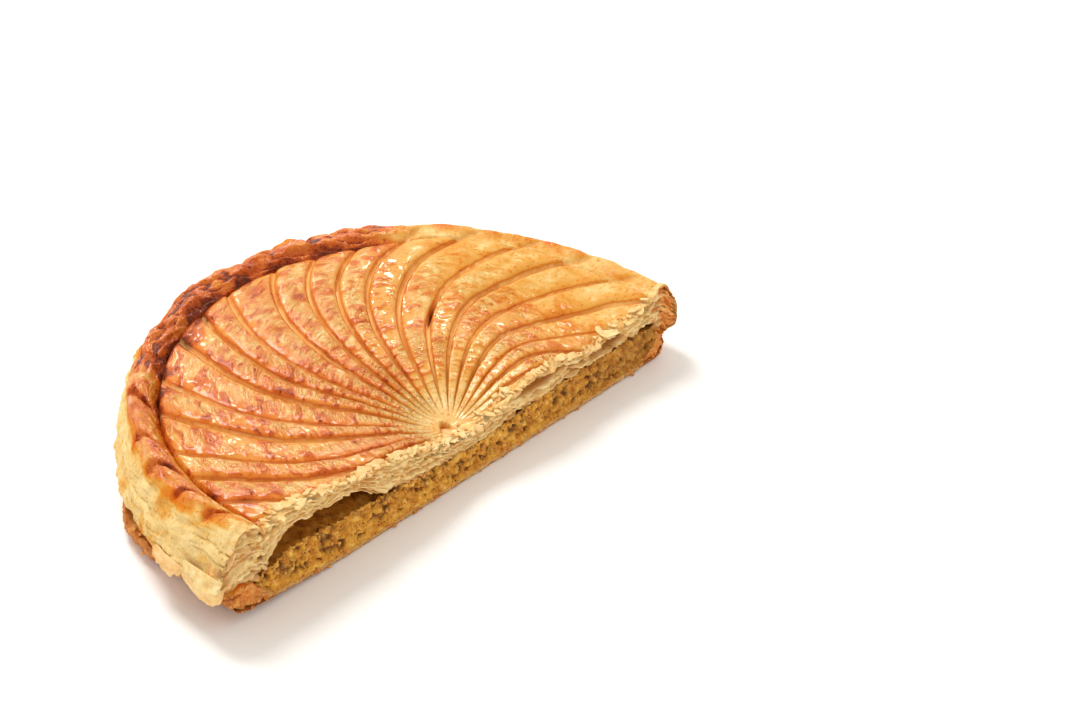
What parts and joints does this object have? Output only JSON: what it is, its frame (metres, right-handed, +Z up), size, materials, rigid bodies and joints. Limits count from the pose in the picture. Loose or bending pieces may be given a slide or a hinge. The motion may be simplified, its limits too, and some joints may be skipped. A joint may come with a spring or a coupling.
{
  "type": "galette des rois half",
  "caption": "Half of a round puff pastry cake with a swirled, scored, glazed lid over a layer of almond filling and a thin pastry base, lying flat with its straight cut face open.",
  "frame": {"origin": "on the surface it lies on, under the middle of the half's own box", "axes": "+X along the cut, +Y away from the cut face into the half, +Z up; the cut face looks along -Y"},
  "size_m": [0.2502, 0.1336, 0.0399],
  "materials": {
    "golden_crust": "egg-washed baked puff pastry, glossy on the ridges and matte at the sides",
    "almond_filling": "moist coarse almond crumb",
    "pale_crust": "matte baked puff pastry, crumbly at the edge"
  },
  "bodies": {
    "root": {"puff_lid": "golden_crust", "frangipane": "almond_filling", "puff_base": "pale_crust"}
  },
  "joints": []
}
